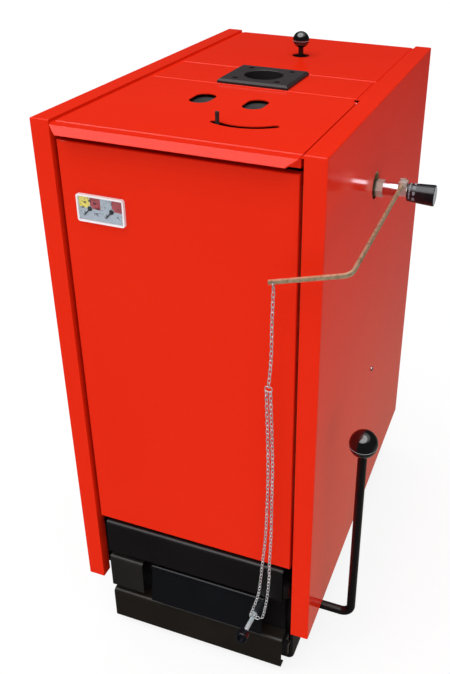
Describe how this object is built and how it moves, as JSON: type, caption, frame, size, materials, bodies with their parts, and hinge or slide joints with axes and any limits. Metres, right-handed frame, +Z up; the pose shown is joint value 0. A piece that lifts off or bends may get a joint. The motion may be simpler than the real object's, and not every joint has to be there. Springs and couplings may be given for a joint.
{
  "type": "coal boiler",
  "caption": "Free-standing solid-fuel boiler with a top loading lid, draught regulator and chain to an air flap, rocking grate lever, flue damper rod and flanged water connections.",
  "frame": {"origin": "on the floor under the middle of the casing", "axes": "+Z up, the front with the ash door faces -Y, the regulator is on the +X side"},
  "size_m": [0.5649, 0.8705, 1.1],
  "materials": {
    "red_paint": "gloss red powder coat",
    "black_paint": "satin black heat-resistant paint",
    "vessel_steel": "mill-scale boiler plate",
    "cast_iron": "raw casting",
    "zinc": "bright zinc plate",
    "yellow_zinc": "yellow passivated zinc",
    "nickel": "nickel plate",
    "black_plastic": "gloss black",
    "white_plastic": "white",
    "dial_print": "printed dial plate",
    "clear_window": "clear",
    "seal_cord": "woven heat-proof cord",
    "mineral_wool": "mineral wool"
  },
  "bodies": {
    "boiler": {"base_plate": "black_paint", "outer_side_plates": "black_paint", "outer_end_plates": "black_paint", "inner_plates": "vessel_steel", "partition": "vessel_steel", "jacket_floor": "vessel_steel", "flue_ceiling": "vessel_steel", "vessel_top": "vessel_steel", "loading_collar": "vessel_steel", "flow_flange": "black_paint", "return_flange": "black_paint", "flue_outlet": "black_paint", "drain_socket": "black_paint", "rod_guide": "vessel_steel", "lid_hinge_brackets": "vessel_steel", "side_insulation": "mineral_wool", "front_insulation": "mineral_wool", "rear_insulation": "mineral_wool", "top_insulation": "mineral_wool", "left_side_panel": "red_paint", "right_side_panel": "red_paint", "front_panel": "red_paint", "middle_top_strip": "red_paint", "rear_top_cover": "red_paint", "rear_panel": "red_paint", "gauge_housing": "white_plastic", "gauge_dial": "dial_print", "gauge_window": "clear_window", "regulator_body": "nickel", "ash_door_frame": "black_paint", "ash_hinge_brackets": "black_paint", "lever_bush": "vessel_steel", "ash_pan": "zinc", "casing_screws": "zinc"},
    "lid": {"lid_cover": "red_paint", "lid_shield": "vessel_steel", "lid_seal": "seal_cord"},
    "air_damper": {"air_damper": "vessel_steel"},
    "temperature_needle": {"temperature_needle": "black_plastic"},
    "pressure_needle": {"pressure_needle": "black_plastic"},
    "regulator_knob": {"regulator_knob": "black_plastic"},
    "regulator_arm": {"regulator_arm": "yellow_zinc", "arm_clamp": "zinc"},
    "chain": {"chain": "zinc"},
    "ash_door": {"ash_door_leaf": "black_paint", "upper_band": "black_paint", "lower_band": "black_paint", "grip_plate": "black_paint", "ash_door_seal": "seal_cord"},
    "air_flap": {"air_flap": "black_paint", "flap_bolt": "zinc", "flap_cap": "black_plastic"},
    "grate_lever": {"grate_lever": "black_paint", "lever_ball": "black_plastic"},
    "grate_link": {"grate_link": "vessel_steel"},
    "grate": {"grate": "cast_iron"},
    "pull_rod": {"pull_rod": "zinc", "rod_ball": "black_plastic"},
    "flue_damper": {"flue_damper": "vessel_steel"}
  },
  "joints": [
    {"name": "lid_hinge", "type": "hinge", "parent": "boiler", "child": "lid", "pos_m": [0, -0.077, 1.0475], "axis": [-1, 0, 0], "range_deg": [0, 85]},
    {"name": "air_damper_turn", "type": "hinge", "parent": "lid", "child": "air_damper", "pos_m": [0.0605, -0.202, 1.0455], "axis": [0, 0, 1], "range_deg": [-5, 65]},
    {"name": "temperature_needle_turn", "type": "hinge", "parent": "boiler", "child": "temperature_needle", "pos_m": [-0.1417, -0.36875, 0.9244], "axis": [0, 1, 0], "range_deg": [0, 260]},
    {"name": "pressure_needle_turn", "type": "hinge", "parent": "boiler", "child": "pressure_needle", "pos_m": [-0.1045, -0.36875, 0.9244], "axis": [0, 1, 0], "range_deg": [0, 260]},
    {"name": "regulator_knob_turn", "type": "hinge", "parent": "boiler", "child": "regulator_knob", "pos_m": [0.3, -0.069, 0.905], "axis": [1, 0, 0], "range_deg": [-150, 150]},
    {"name": "regulator_arm_tilt", "type": "hinge", "parent": "boiler", "child": "regulator_arm", "pos_m": [0.2753, -0.069, 0.905], "axis": [-1, 0, 0], "range_deg": [-1.1, 4.9], "deforming": ["chain"]},
    {"name": "chain_swing", "type": "hinge", "parent": "regulator_arm", "child": "chain", "pos_m": [0.16665, -0.39824, 0.87417], "axis": [-1, 0, 0], "range_deg": [-5, 1.2], "deforming": ["chain"]},
    {"name": "ash_door_hinge", "type": "hinge", "parent": "boiler", "child": "ash_door", "pos_m": [0.184, -0.361, 0.14], "axis": [0, 0, 1], "range_deg": [0, 100], "deforming": ["chain"]},
    {"name": "air_flap_hinge", "type": "hinge", "parent": "ash_door", "child": "air_flap", "pos_m": [0.029, -0.3675, 0.188], "axis": [-1, 0, 0], "range_deg": [-9, 40], "deforming": ["chain"]},
    {"name": "grate_lever_swing", "type": "hinge", "parent": "boiler", "child": "grate_lever", "pos_m": [0.193, -0.2755, 0.108], "axis": [1, 0, 0], "range_deg": [-15, 15]},
    {"name": "grate_link_turn", "type": "hinge", "parent": "grate_lever", "child": "grate_link", "pos_m": [0.17, -0.2355, 0.108], "axis": [1, 0, 0], "range_deg": [-15, 15]},
    {"name": "grate_rock", "type": "hinge", "parent": "boiler", "child": "grate", "pos_m": [0, -0.1925, 0.228], "axis": [1, 0, 0], "range_deg": [-15, 15]},
    {"name": "pull_rod_slide", "type": "slide", "parent": "boiler", "child": "pull_rod", "axis": [0, 0, 1], "range_m": [0, 0.05]},
    {"name": "flue_damper_turn", "type": "hinge", "parent": "boiler", "child": "flue_damper", "pos_m": [0, 0.152, 0.845], "axis": [1, 0, 0], "range_deg": [0, 68]}
  ],
  "couplings": [
    {"joint": "air_flap_hinge", "follows": "regulator_arm_tilt", "ratio": 8.1},
    {"joint": "chain_swing", "follows": "regulator_arm_tilt", "ratio": -1},
    {"joint": "grate_link_turn", "follows": "grate_lever_swing", "ratio": -1},
    {"joint": "grate_rock", "follows": "grate_lever_swing", "ratio": 1},
    {"joint": "flue_damper_turn", "follows": "pull_rod_slide", "rad_per_m": 23.67}
  ]
}
